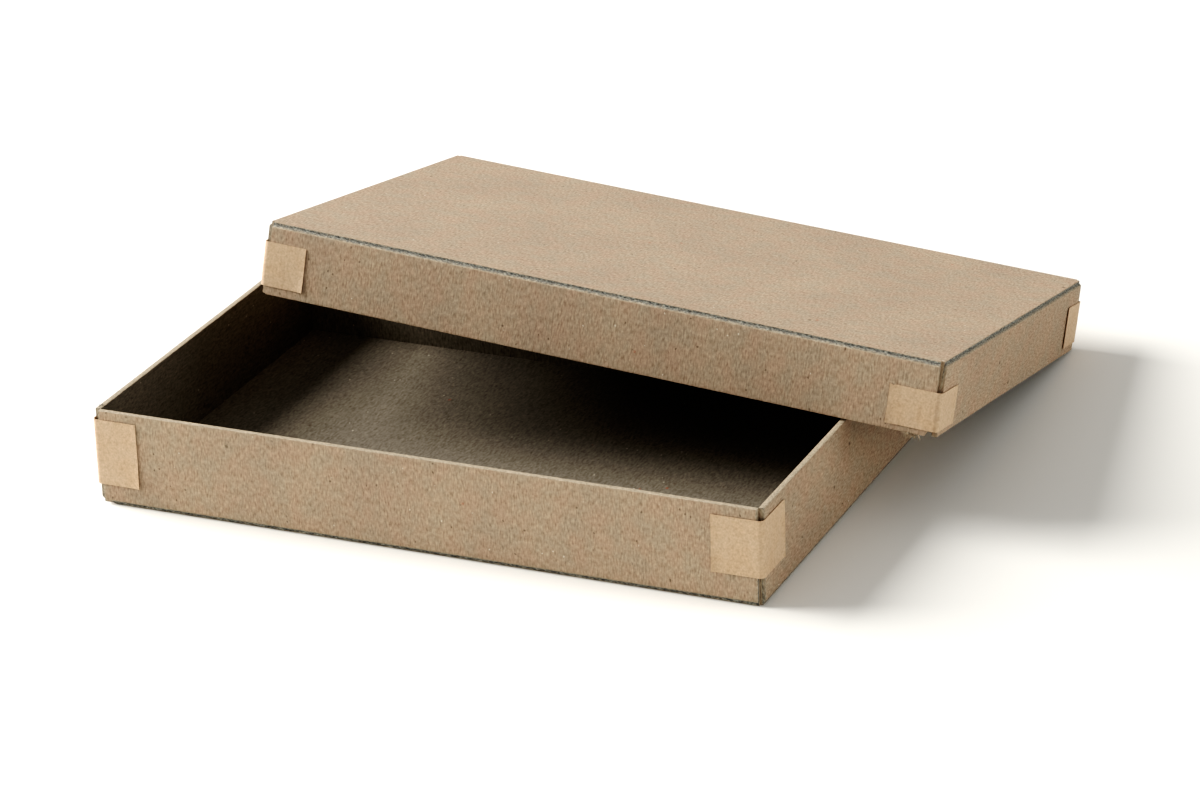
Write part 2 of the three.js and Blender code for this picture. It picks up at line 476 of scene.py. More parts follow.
@dataclass(frozen=True)
class ChipboardFinish:
    """Bare recycled chipboard: mottled, fibrous and specked, with a greyer core in its cuts.

    Attributes:
        name: The material's name.
        tan: The usual colour of its face.
        rosy: The colour of its warmer patches.
        green: The colour of its cooler patches.
        shaded_inside: The colour of its greyer inner side, darkened further as painted shade for the
            shade inside the box.
        rim: The colour of a clean cut edge.
        core: The colour deep in a half-through cut.
        dark_speck: The colour of dark specks.
        light_speck: The colour of pale fibres and specks.
        red_speck: The colour of the few reddish specks.
    """

    name: str = "bare_chipboard"
    tan: Colour = (0.392, 0.296, 0.217)
    rosy: Colour = (0.402, 0.291, 0.213)
    green: Colour = (0.376, 0.297, 0.221)
    shaded_inside: Colour = (0.190, 0.165, 0.131)
    rim: Colour = (0.396, 0.324, 0.243)
    core: Colour = (0.158, 0.158, 0.146)
    dark_speck: Colour = (0.110, 0.080, 0.055)
    light_speck: Colour = (0.780, 0.700, 0.560)
    red_speck: Colour = (0.330, 0.110, 0.070)

    def face_colour(self, wiring: Wiring, place: object, streak: object,
                    grains: object) -> bpy.types.NodeSocket:
        """The board's outer layer, and its inner side in a darker colour that is partly painted
        shade.

        Args:
            wiring: The material that is being made.
            place: The place on the flat sheet.
            streak: The pattern of the fibres' run.
            grains: The pattern of the fine grain.

        Returns:
            The colour of the face.
        """
        patches = wiring.noise(place, (210.0, 150.0, 210.0), 2.0)
        clouds = wiring.noise(place, (42.0, 30.0, 42.0), 2.0)
        mottle = wiring.ramp(patches, ((0.36, self.green), (0.50, self.tan), (0.64, self.rosy)))
        # Painted shade: the inner side takes a darker colour. Besides its own greyer tone, this
        # stands in for the shade inside the box.
        depth = wiring.node("ShaderNodeSeparateXYZ", {0: place}).outputs[2]
        colour = wiring.mixed(wiring.level(depth, 1.15 * MM, 1.35 * MM), mottle, self.shaded_inside)
        colour = wiring.tinted(colour, clouds, (
            (0.30, (0.94, 0.94, 0.95)), (0.70, (1.05, 1.05, 1.04))))
        colour = wiring.tinted(colour, streak, (
            (0.30, (0.74, 0.71, 0.68)), (0.50, AS_IT_IS), (0.72, (1.22, 1.21, 1.19))))
        colour = wiring.tinted(colour, grains, (
            (0.28, (0.74, 0.73, 0.72)), (0.52, AS_IT_IS), (0.74, (1.22, 1.22, 1.20))), 0.8)
        ragged = wiring.ragged(place, 1900.0, 0.26 * MM)
        for share, size, cells, shift, speck in (
                (0.10, 0.22, (760.0, 520.0, 760.0), 3.1, self.dark_speck),
                (0.025, 0.17, (300.0, 240.0, 300.0), 11.7, self.dark_speck),
                (0.035, 0.16, (760.0, 560.0, 760.0), 23.9, self.light_speck),
                (0.014, 0.15, (340.0, 260.0, 340.0), 41.3, self.red_speck)):
            spots = wiring.flecks(ragged, cells, share, size, shift)
            colour = wiring.mixed(wiring.maths("MULTIPLY", spots, 0.7), colour, speck)
        return colour

    def cut_colour(self, wiring: Wiring, place: object, cut: object) -> bpy.types.NodeSocket:
        """The board where a knife has gone through it or half through it.

        Args:
            wiring: The material that is being made.
            place: The place on the flat sheet.
            cut: How far into a cut the surface lies.

        Returns:
            The colour of the cut.
        """
        fibres = wiring.noise(place, (1500.0, 1500.0, 2600.0), 3.0, 0.65)
        layers = wiring.noise(place, (160.0, 160.0, 3400.0), 2.0)
        pale = wiring.tinted(self.rim, fibres, (
            (0.30, (0.62, 0.62, 0.60)), (0.50, AS_IT_IS), (0.72, (1.3, 1.3, 1.3))))
        pale = wiring.tinted(pale, layers, (
            (0.35, (0.80, 0.82, 0.82)), (0.65, (1.1, 1.08, 1.05))), 0.5)
        deep = wiring.tinted(self.core, fibres, (
            (0.32, (0.35, 0.35, 0.35)), (0.50, AS_IT_IS), (0.70, (2.6, 2.6, 2.4))))
        return wiring.mixed(wiring.level(cut, 0.50, 1.02), pale, deep)

    def material(self) -> bpy.types.Material:
        """Make the finish.

        Returns:
            The material.
        """
        wiring = Wiring(self.name)
        place = wiring.attribute("sheet").outputs["Vector"]
        streak = wiring.noise(place, (2700.0, 620.0, 1700.0), 2.0, 0.55)
        grains = wiring.noise(place, (1500.0, 1300.0, 1500.0), 4.0, 0.6)
        wander = wiring.maths("MULTIPLY", wiring.maths("SUBTRACT", grains, 0.5), 0.9)
        cut = wiring.maths("ADD", wiring.attribute("cut").outputs["Fac"], wander)
        face = self.face_colour(wiring, place, streak, grains)
        colour = wiring.mixed(wiring.level(cut, 0.20, 0.34), face,
                              self.cut_colour(wiring, place, cut))
        wiring.surface(colour, wiring.level(grains, 0.3, 0.7, 0.97, 0.84), 0.22)
        wiring.relief(((streak, 0.55), (grains, 0.6)), 0.10 * MM, 0.75)
        return wiring.material


@dataclass(frozen=True)
class KraftFinish:
    """Smooth kraft stay paper, warmer and lighter than the board.

    Attributes:
        name: The material's name.
        straw: The usual colour of the paper.
        warm: The colour of its warmer clouds.
        fibre: The colour of its darker fibres.
        edge: The colour of its cut edges.
    """

    name: str = "kraft_stay_paper"
    straw: Colour = (0.566, 0.412, 0.288)
    warm: Colour = (0.552, 0.388, 0.262)
    fibre: Colour = (0.430, 0.300, 0.180)
    edge: Colour = (0.760, 0.620, 0.450)

    def material(self) -> bpy.types.Material:
        """Make the finish.

        Returns:
            The material.
        """
        wiring = Wiring(self.name)
        place = wiring.attribute("sheet").outputs["Vector"]
        clouds = wiring.noise(place, (190.0, 190.0, 190.0), 3.0)
        streak = wiring.noise(place, (1150.0, 760.0, 900.0), 2.0)
        grains = wiring.noise(place, (2100.0, 1900.0, 2100.0), 3.0)
        colour = wiring.ramp(clouds, ((0.36, self.warm), (0.62, self.straw)))
        colour = wiring.tinted(colour, streak, (
            (0.30, (0.86, 0.84, 0.82)), (0.52, AS_IT_IS), (0.74, (1.10, 1.10, 1.09))), 0.8)
        colour = wiring.tinted(colour, grains, (
            (0.30, (0.83, 0.81, 0.79)), (0.70, (1.13, 1.13, 1.12))), 0.8)
        hairs = wiring.flecks(place, (420.0, 900.0, 420.0), 0.16, 0.24, 7.7)
        colour = wiring.mixed(wiring.maths("MULTIPLY", hairs, 0.35), colour, self.fibre)
        cut = wiring.level(wiring.attribute("cut").outputs["Fac"], 0.2, 0.5)
        colour = wiring.mixed(cut, colour, self.edge)
        wiring.surface(colour, wiring.level(grains, 0.3, 0.7, 0.82, 0.68), 0.30)
        wiring.relief(((streak, 0.6), (grains, 0.4)), 0.03 * MM, 0.6)
        return wiring.material


# The folded halves


@dataclass(frozen=True)
class ProfileStop:
    """One stop on the way round a wall's section, from the panel's outer face to its inner one.

    Attributes:
        inset: How far in from the wall's outer face it lies.
        height: How far up from the panel's outer face it lies.
        through: Its depth through the flat board.
        out: How far beyond the fold it lies on the flat board.
        cut: How far it lies in a cut.
        stray: How far the board's torn fibres carry it to and fro.
    """

    inset: float
    height: float
    through: float
    out: float
    cut: float = 0.0
    stray: float = 0.0

    @classmethod
    def on_face(cls, inset: float, height: float, cut: float = 0.0,
                stray: float = 0.0) -> "ProfileStop":
        """A stop on the wall's outer face or in the sloping cut below it."""
        return cls(inset, height, inset, height, cut, stray)

    @classmethod
    def past_rim(cls, inset: float, height: float, cut: float = 0.0,
                 stray: float = 0.0) -> "ProfileStop":
        """A stop on the rim or on the wall's inner face."""
        return cls(inset, height, inset, height - 2 * inset, cut, stray)


class Loss(Enum):
    """What a wall's corner has lost."""

    CLIPPED_AT_FOLD = "clipped at the fold"
    TORN_AT_RIM = "torn at the rim"


@dataclass(frozen=True)
class CornerLoss:
    """A corner of a wall that is clipped or torn off.

    Attributes:
        side: The wall.
        end: -1 for the wall's left end as seen from outside and 1 for its right one.
        kind: What happened to it.
        run: Its size along the wall.
        rise: Its size up or down the wall.
        rough: How ragged it is, if it is torn.
    """

    side: Side
    end: int
    kind: Loss
    run: float
    rise: float
    rough: float = 0.25 * MM


@dataclass(frozen=True)
class Burr:
    """A tuft of torn fibres on a cut edge.

    Attributes:
        side: The wall.
        along: Its place from the wall's middle.
        height: Its place up from the panel's outer face.
        inset: Its place in from the wall's outer face.
        spread: How far its fibres stand apart along the wall.
        length: How long its fibres are.
        width: How thick its fibres are.
        count: How many it has.
        cut: The mark of their colour, as on the sheet.
    """

    side: Side
    along: float
    height: float
    inset: float
    spread: float
    length: float
    width: float
    count: int
    cut: float = 0.5


@dataclass
class BoardHalf:
    """The tray or the lid: one cross-shaped blank with its four walls turned up.

    Attributes:
        node: The solid that it stands for.
        stance: Which way up it lies.
        stock: The board.
        finish: The board's material.
        long_cells: Cells of the panel's mesh along its width.
        short_cells: Cells of the panel's mesh along its depth.
        columns_per_cell: Columns of a wall's mesh for each cell of the panel beside it.
        row_height: About how far apart the rows of a wall's mesh are.
        bow: How far a wall bows in or out.
        bow_run: How far it is from one bow to the next.
        swell: How far the panel swells.
        firm_edge: How far from its edge the panel swells fully.
        fold_fibres: The share of the loose fibres that stand off the folds, not the rims.
        losses: Corners that are clipped or torn off.
        burrs: Tufts of torn fibres.
        fuzz: How many single fibres stand off its cut edges.
        end_core_and_shade: How dark the cut ends of its walls are, as the mark of a cut: partly the
            grey core, partly painted shade of the dark gap in a corner's notch.
        seed: Starts its random draws.
    """

    node: str
    stance: Stance
    stock: BoardStock
    finish: bpy.types.Material
    long_cells: int = 60
    short_cells: int = 40
    columns_per_cell: int = 6
    row_height: float = 2.6 * MM
    bow: float = 0.10 * MM
    bow_run: float = 38 * MM
    swell: float = 0.05 * MM
    firm_edge: float = 9 * MM
    fold_fibres: float = 0.62
    losses: tuple[CornerLoss, ...] = ()
    burrs: tuple[Burr, ...] = ()
    fuzz: int = 900
    end_core_and_shade: float = 0.24
    seed: int = 1
    seat: Seat = field(init=False)

    def __post_init__(self) -> None:
        """Read where the half lies and start its random draws."""
        self.seat = Seat.of_node(self.node)
        self.draws = random.Random(self.seed)
        self.mesh = SheetMesh(self.seat.place)

    def span(self, side: Side) -> tuple[float, float]:
        """The wall's full length, and the half's half size across that wall."""
        if side.is_long:
            return self.seat.width, self.seat.depth / 2
        return self.seat.depth, self.seat.width / 2

    def level(self, height: float) -> float:
        """Turn a height above the panel's outer face into a height in the half's own frame."""
        return height if self.stance is Stance.PANEL_DOWN else self.seat.height - height

    def stops(self) -> list[ProfileStop]:
        """The way round a wall's section.

        Returns:
            The stops between the panel's outer and inner face, without those two ends.
        """
        stock, high, thick = self.stock, self.seat.height, self.stock.thickness
        set_in, deep, on_wall = stock.score_set_in, stock.score_depth, stock.score_on_wall
        stops = []
        for inset, height, cut, stray in (
                (set_in + 0.32 * MM, 0.0, 0.0, 0.0), (set_in + 0.07 * MM, 0.0, 0.05, 0.01),
                (set_in, 0.07 * MM, 0.6, 0.04), (set_in, deep * 0.4, 1.0, 0.05),
                (set_in, deep * 0.7, 1.0, 0.06), (set_in, deep, 1.0, 0.06)):
            stops.append(ProfileStop(inset, height, height, -inset, cut, stray * MM))
        slope = (on_wall - deep) / set_in
        for share, cut, stray in ((0.76, 0.94, 0.07), (0.46, 0.80, 0.08), (0.20, 0.60, 0.08),
                                  (0.05, 0.40, 0.08)):
            inset = share * set_in
            stops.append(ProfileStop.on_face(inset, on_wall - slope * inset, cut, stray * MM))
        low, top = on_wall + 1.3 * MM, high - 1.4 * MM
        stops.append(ProfileStop.on_face(0.0, on_wall + 0.10 * MM, 0.12, 0.05 * MM))
        stops.append(ProfileStop.on_face(0.0, on_wall + 0.45 * MM))
        face_rows = max(2, round((high - 4 * MM) / self.row_height))
        for row in range(face_rows):
            stops.append(ProfileStop.on_face(0.0, low + (top - low) * row / face_rows))
        stops += self.rim_stops()
        inner_rows = max(2, face_rows // 2)
        for row in range(1, inner_rows + 1):
            height = top + (thick + 1.2 * MM - top) * row / inner_rows
            stops.append(ProfileStop.past_rim(thick, height))
        stops.append(ProfileStop.past_rim(thick, thick + 0.3 * MM))
        return stops

    def rim_stops(self) -> list[ProfileStop]:
        """The way over a wall's rim, which is rounded alike on both sides.

        Returns:
            The stops from the wall's outer face to its inner one.
        """
        curl, across = self.stock.rim_round, self.stock.thickness / self.stock.rim_round
        outer = ((0.0, -8.0, 0.0), (0.0, -2.6, 0.0), (0.0, -1.15, 0.10), (0.30, -0.35, 0.40),
                 (1.10, 0.0, 0.5), (2.8, 0.0, 0.5))
        inner = tuple((across - inset, drop, cut) for inset, drop, cut in reversed(outer))
        return [ProfileStop.past_rim(inset * curl, self.seat.height + drop * curl, cut,
                                     0.05 * MM if cut else 0.0) for inset, drop, cut in outer + inner]

    def worn_height(self, side: Side, along: float, inset: float, height: float) -> float:
        """Take off what a wall's corner has lost.

        Args:
            side: The wall.
            along: The place along it.
            inset: The place in from its outer face.
            height: The height of the whole wall there.

        Returns:
            The height that is left.
        """
        reach = self.span(side)[0] / 2 - self.stock.thickness
        for loss in self.losses:
            from_end = reach - loss.end * along
            if loss.side is not side or from_end > loss.run:
                continue
            depth = loss.rise * (1.0 - max(from_end, 0.0) / loss.run)
            if loss.kind is Loss.CLIPPED_AT_FOLD and inset < self.stock.thickness * 0.99:
                height = max(height, depth)
            if loss.kind is Loss.TORN_AT_RIM:
                ragged = loss.rough * noise.noise(
                    Vector((along / MM * 2.3, inset / MM * 1.7, 5.0)))
                height = min(height, self.seat.height - depth + ragged)
        return height

    def wall_point(self, side: Side, along: float, at_end: bool, stop: ProfileStop) -> int:
        """Add one point of a wall.

        Args:
            side: The wall.
            along: Its place along the wall.
            at_end: Whether it is on the wall's cut end.
            stop: Its stop round the wall's section.

        Returns:
            The point's number.
        """
        half = self.span(side)[1]
        inset, height, thick = stop.inset, stop.height, self.stock.thickness
        shows_end = at_end and inset < thick * 0.95
        if at_end and height > thick + 0.05 * MM:
            along += math.copysign(self.stock.corner_press, along)
        if at_end and inset < 0.05 * MM:
            inset += 0.05 * MM
        number = list(Side).index(side)
        if stop.stray:
            key = number * 31.0 + self.seed * 7.0
            beat = Vector((along / MM * 1.9, key, stop.inset / MM * 1.3))
            fine = Vector((along / MM * 5.7, key + 3.0, stop.inset / MM * 2.1))
            apart = Vector((0, 9, 0))
            lift = noise.noise(beat) + 0.8 * noise.noise(fine)
            shift = noise.noise(beat + apart) + 0.8 * noise.noise(fine + apart)
            height += lift * stop.stray
            inset += abs(shift) * stop.stray * (1 if stop.inset < thick / 2 else -1)
        height = self.worn_height(side, along, stop.inset, height)
        bow = noise.noise(Vector((along / self.bow_run, self.seed * 3.0, number * 5.0)))
        inset += self.bow * (0.6 + bow) * min(1.0, height / self.seat.height) * (
            1.0 - (2 * along / self.span(side)[0]) ** 4)
        inward, run = side.inward, side.along
        spot = run * along - inward * (half - inset)
        flat = run * along - inward * (half + stop.out)
        # The cut ends take at least the end mark. This paints the shade of the notch's gap along with
        # the grey core.
        return self.mesh.point(Vector((spot.x, spot.y, self.level(height))),
                               Vector((flat.x, flat.y, stop.through)),
                               max(stop.cut, self.end_core_and_shade) if shows_end else stop.cut)

    def edge_rings(self, height: float) -> dict[Side, list[int]]:
        """The panel's edge on one of its two faces, one list of points for each wall.

        Args:
            height: The face's height above the panel's outer face.

        Returns:
            The points along each wall. Walls share the point at their corner.
        """
        rings: dict[Side, list[int]] = {}
        first: int | None = None
        last: int | None = None
        for side in Side:
            length, half = self.span(side)
            reach = length / 2 - self.stock.thickness
            columns = self.columns(side)
            ring = [] if last is None else [last]
            for column in range(len(ring), columns + 1):
                if side is Side.LEFT and column == columns:
                    ring.append(first)
                    continue
                along = reach * (2 * column / columns - 1)
                spot = side.along * along - side.inward * (half - self.stock.thickness)
                ring.append(self.mesh.point(Vector((spot.x, spot.y, self.level(height))),
                                            Vector((spot.x, spot.y, height)), 0.0))
            first = ring[0] if first is None else first
            last = ring[-1]
            rings[side] = ring
        return rings

    def columns(self, side: Side) -> int:
        """How many columns of faces a wall's mesh has."""
        return self.columns_per_cell * (self.long_cells if side.is_long else self.short_cells)

    def panel_face(self, rings: dict[Side, list[int]], height: float) -> None:
        """Fill one face of the panel, from the fine points of its edge to a coarser middle.

        Args:
            rings: The points of its edge.
            height: The face's height above the panel's outer face.
        """
        across, deep, fine = self.long_cells, self.short_cells, self.columns_per_cell
        half_x = self.seat.width / 2 - self.stock.thickness
        half_y = self.seat.depth / 2 - self.stock.thickness
        inner: dict[tuple[int, int], int] = {}
        for i in range(1, across):
            for j in range(1, deep):
                x, y = half_x * (2 * i / across - 1), half_y * (2 * j / deep - 1)
                fade = min(1.0, (half_x - abs(x)) / self.firm_edge,
                           (half_y - abs(y)) / self.firm_edge)
                swell = noise.noise(Vector((x / (23 * MM), y / (31 * MM), self.seed * 2.0)))
                level = self.level(height + self.swell * (swell + 0.5) * fade)
                inner[i, j] = self.mesh.point(Vector((x, y, level)), Vector((x, y, height)), 0.0)
        front, right, back, left = (rings[side] for side in Side)

        def stretch(ring: list[int], start: int, corner: tuple[int, int]) -> list[int]:
            """The fine points of a cell's side, or its one inner point."""
            if corner in inner:
                return [inner[corner]]
            return ring[start * fine:(start + 1) * fine + 1]

        for i in range(across):
            for j in range(deep):
                if j == 0:
                    loop = front[i * fine:(i + 1) * fine + 1]
                else:
                    loop = stretch(left, deep - j, (i, j))[:1]
                if i == across - 1:
                    loop += right[j * fine:(j + 1) * fine + 1]
                elif j > 0:
                    loop.append(inner[i + 1, j])
                if j == deep - 1:
                    loop += back[(across - i - 1) * fine:(across - i) * fine + 1]
                elif i < across - 1:
                    loop.append(inner[i + 1, j + 1])
                if i == 0:
                    loop += left[(deep - j - 1) * fine:(deep - j) * fine + 1]
                elif j < deep - 1:
                    loop.append(inner[i, j + 1])
                self.mesh.face(list(dict.fromkeys(loop)))

    def wall(self, side: Side, outer: list[int], inner: list[int]) -> None:
        """Add one wall, joined to the panel's two faces, with its cut ends.

        Args:
            side: The wall.
            outer: The points of the panel's outer edge along it.
            inner: The points of the panel's inner edge along it.
        """
        reach = self.span(side)[0] / 2 - self.stock.thickness
        columns = self.columns(side)
        rows = [outer]
        for stop in self.stops():
            rows.append([self.wall_point(side, reach * (2 * column / columns - 1),
                                         column in (0, columns), stop)
                         for column in range(columns + 1)])
        rows.append(inner)
        self.mesh.grid(rows)
        for column in (0, columns):
            self.mesh.face([row[column] for row in rows])

    def fibre(self, root: Vector, aim: Vector, length: float, width: float, cut: float) -> None:
        """Add one standing fibre: a thin three-sided spike that bends over.

        Args:
            root: Where it leaves the board.
            aim: Which way it points.
            length: Its length.
            width: Its thickness at the root.
            cut: The mark of its colour.
        """
        aim = aim.normalized()
        side = aim.orthogonal().normalized()
        other = aim.cross(side)
        bend = (side * self.draws.uniform(-1, 1) + other * self.draws.uniform(-1, 1)) * length * 0.45
        rings = []
        for part in (0.0, 0.4, 0.75):
            middle = root + aim * length * part + bend * part * part
            radius = width / 2 * (1.0 - 0.75 * part)
            ring = []
            for turn in range(3):
                angle = turn * math.tau / 3
                spot = middle + (side * math.cos(angle) + other * math.sin(angle)) * radius
                ring.append(self.mesh.point(spot, spot, cut))
            rings.append(ring)
        end = root + aim * length + bend
        tip = self.mesh.point(end, end, cut)
        for near, far in zip(rings, rings[1:]):
            for turn in range(3):
                after = (turn + 1) % 3
                self.mesh.face((near[turn], near[after], far[after], far[turn]))
        for turn in range(3):
            self.mesh.face((rings[-1][turn], rings[-1][(turn + 1) % 3], tip))
        self.mesh.face(tuple(reversed(rings[0])))

    def on_wall(self, side: Side, along: float, inset: float, height: float) -> Vector:
        """A place on a wall in the half's own frame."""
        spot = side.along * along - side.inward * (self.span(side)[1] - inset)
        return Vector((spot.x, spot.y, self.level(height)))

    def loose_fibres(self) -> None:
        """Stand single fibres off the folds and rims, and tufts where the board is frayed."""
        up = 1.0 if self.stance is Stance.PANEL_DOWN else -1.0
        stock = self.stock
        for _ in range(self.fuzz):
            side = self.draws.choice(list(Side))
            reach = self.span(side)[0] / 2 - stock.thickness - 0.5 * MM
            along = self.draws.uniform(-reach, reach)
            outward = -side.inward
            if self.draws.random() < self.fold_fibres:
                root = self.on_wall(side, along, 0.12 * MM, stock.score_on_wall - 0.06 * MM)
                aim = outward * self.draws.uniform(0.2, 1.0) + Vector((0, 0, -up))
            else:
                root = self.on_wall(side, along, self.draws.choice((0.1, 1.3)) * MM,
                                    self.seat.height - 0.06 * MM)
                aim = outward * self.draws.uniform(-0.6, 0.6) + Vector((0, 0, up))
            aim += side.along * self.draws.uniform(-1.2, 1.2)
            self.fibre(root, aim, self.draws.uniform(0.12, 0.38) * MM,
                       self.draws.uniform(0.03, 0.06) * MM, self.draws.choice((0.0, 0.5, 0.5)))
        for burr in self.burrs:
            for _ in range(burr.count):
                root = self.on_wall(burr.side, burr.along + self.draws.gauss(0, burr.spread),
                                    burr.inset + self.draws.uniform(-0.3, 0.3) * MM, burr.height)
                aim = -burr.side.inward * self.draws.uniform(-0.2, 0.9)
                aim += burr.side.along * self.draws.uniform(-1.0, 1.0)
                aim += Vector((0, 0, up * self.draws.uniform(0.3, 1.0)))
                self.fibre(root, aim, burr.length * self.draws.uniform(0.5, 1.0),
                           burr.width * self.draws.uniform(0.6, 1.0), burr.cut)

    def build(self) -> bpy.types.Object:
        """Build and dress the half and set it in the place of its solid.

        Returns:
            The finished piece.
        """
        outer = self.edge_rings(0.0)
        inner = self.edge_rings(self.stock.thickness)
        self.panel_face(outer, 0.0)
        self.panel_face(inner, self.stock.thickness)
        for side in Side:
            self.wall(side, outer[side], inner[side])
        self.loose_fibres()
        piece = self.mesh.made(f"{self.node}_board", self.finish, 38.0)
        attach(piece, "root")
        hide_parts(self.node)
        LOG.info("%s: %d faces", piece.name, len(piece.data.polygons))
        return piece


# The paper stays


@dataclass(frozen=True)
class Nick:
    """A small tear or bruise in a stay's edge.

    Attributes:
        at: Its place along the strip, from the bend, on the front or back wall as negative.
        width: Its width.
        depth: How far it goes in.
    """

    at: float
    width: float
    depth: float


@dataclass(frozen=True)
class StayCut:
    """How one stay was cut and set by hand.

    Attributes:
        along: Its reach on the front or back wall.
        around: Its reach on the side wall.
        rise: Its lower edge above the half's lowest plane.
        length: Its height.
        lean: How far its long edges lean, as a share of their length.
        nicks: Small tears in its upper edge.
    """

    along: float
    around: float
    rise: float
    length: float
    lean: float = 0.0
    nicks: tuple[Nick, ...] = ()


@dataclass
class CornerStay:
    """A strip of stay paper pasted round one corner of a half.

    Attributes:
        half: The half that it holds.
        corner: The corner that it goes round.
        size: How it was cut and set.
        finish: The paper.
        seed: Starts its random patterns.
        lift: How far its free ends have come away.
        loose_run: How much of each end has come away.
        ripple: How far the paper ripples.
        thickness: The paper's thickness.
        paste: The film of paste under it.
        bend: The radius of its fold.
        end_steps: Columns of its mesh on each wall.
        bend_steps: Columns of its mesh round the fold.
        rows: Rows of its mesh.
    """

    half: BoardHalf
    corner: Corner
    size: StayCut
    finish: bpy.types.Material
    seed: int
    lift: float = 0.23 * MM
    loose_run: float = 2.2 * MM
    ripple: float = 0.035 * MM
    thickness: float = 0.16 * MM
    paste: float = 0.05 * MM
    bend: float = 1.0 * MM
    end_steps: int = 26
    bend_steps: int = 12
    rows: int = 22

    @property
    def arc(self) -> float:
        """Half the length of its fold."""
        return self.bend * math.pi / 4

    def path(self, run: float) -> tuple[Vector, Vector]:
        """Where the strip's middle lies in plan.

        Args:
            run: The distance from the middle of its fold, negative on the front or back wall.

        Returns:
            The place, measured from the half's outer corner into its walls, and the direction
            out of the paper.
        """
        if abs(run) <= self.arc:
            angle = math.pi * 1.25 - run / self.bend
            ray = Vector((math.cos(angle), math.sin(angle)))
            return Vector((self.bend, self.bend)) + ray * self.bend, ray
        rest = abs(run) - self.arc
        if run < 0:
            return Vector((self.bend + rest, 0.0)), Vector((0.0, -1.0))
        return Vector((0.0, self.bend + rest)), Vector((-1.0, 0.0))

    def edge(self, run: float, upper: bool) -> float:
        """The height of the strip's upper or lower edge at a place along it.

        Args:
            run: The place along the strip.
            upper: Whether the upper edge is meant.

        Returns:
            The height above the half's lowest plane.
        """
        size = self.size
        level = size.rise + (size.length if upper else 0.0) + size.lean * run
        ragged = noise.noise(Vector((run / MM * 1.6, self.seed * 5.0, 2.0 if upper else 8.0)))
        level += ragged * 0.035 * MM
        for nick in size.nicks:
            if upper and abs(run - nick.at) < nick.width:
                level -= nick.depth * (1.0 - abs(run - nick.at) / nick.width)
        return level

    def spot(self, run: float, share: float, outer: bool) -> Vector:
        """A place on the paper in the half's own frame.

        Args:
            run: The place along the strip.
            share: The place up the strip, from 0 to 1.
            outer: Whether it is on the outer face.

        Returns:
            The place.
        """
        place, ray = self.path(run)
        reach = (self.size.along if run < 0 else self.size.around) - self.bend + self.arc
        near_end = max(0.0, 1.0 - (reach - abs(run)) / self.loose_run)
        near_foot = max(0.0, 1.0 - share * 2.2) if run < 0 else 0.4
        ripple = noise.noise(Vector((run / MM * 0.35, share * 2.1, self.seed * 4.0)))
        off = self.paste + self.ripple * (ripple + 0.6)
        off += self.lift * near_end ** 2 * (0.35 + near_foot)
        if outer:
            off += self.thickness
        place = place + ray * off
        low, high = self.edge(run, False), self.edge(run, True)
        side_x, side_y = self.corner.value
        seat = self.half.seat
        return Vector((side_x * (seat.width / 2 - place.x), side_y * (seat.depth / 2 - place.y),
                       low + (high - low) * share))

    def runs(self) -> list[float]:
        """The places along the strip that its mesh has.

        Returns:
            The places in order, closer together round the fold.
        """
        arc, ends, bends = self.arc, self.end_steps, self.bend_steps
        front, side = self.size.along - self.bend, self.size.around - self.bend
        runs = [-arc - front * (1 - step / ends) for step in range(ends)]
        runs += [-arc + 2 * arc * step / bends for step in range(bends)]
        runs += [arc + side * step / ends for step in range(ends + 1)]
        return runs

    def build(self) -> bpy.types.Object:
        """Build and dress the stay and set it in the place of its solid.

        Returns:
            The finished piece.
        """
        mesh = SheetMesh(self.half.seat.place)
        runs = self.runs()
        near_edge = 0.012
        shares = [0.0, near_edge, *(step / self.rows for step in range(1, self.rows)),
                  1 - near_edge, 1.0]
        skins = []
        for outer in (True, False):
            rows = []
            for share in shares:
                rows.append([mesh.point(self.spot(run, share, outer),
                                        Vector((run + self.seed * 0.05, share * self.size.length,
                                                0.0 if outer else self.thickness)), 0.0)
                             for run in runs])
            mesh.grid(rows)
            skins.append(rows)
        face, back = skins
        for outline, behind in ((face[0], back[0]), (face[-1], back[-1]),
                                ([row[0] for row in face], [row[0] for row in back]),
                                ([row[-1] for row in face], [row[-1] for row in back])):
            mesh.grid([outline, behind])
        node = f"{self.half.node}_stay_{self.corner.name.lower()}"
        piece = mesh.made(f"{node}_paper", self.finish, 40.0)
        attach(piece, "root")
        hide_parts(node)
        LOG.info("%s: %d faces", piece.name, len(piece.data.polygons))
        return piece


# The studio


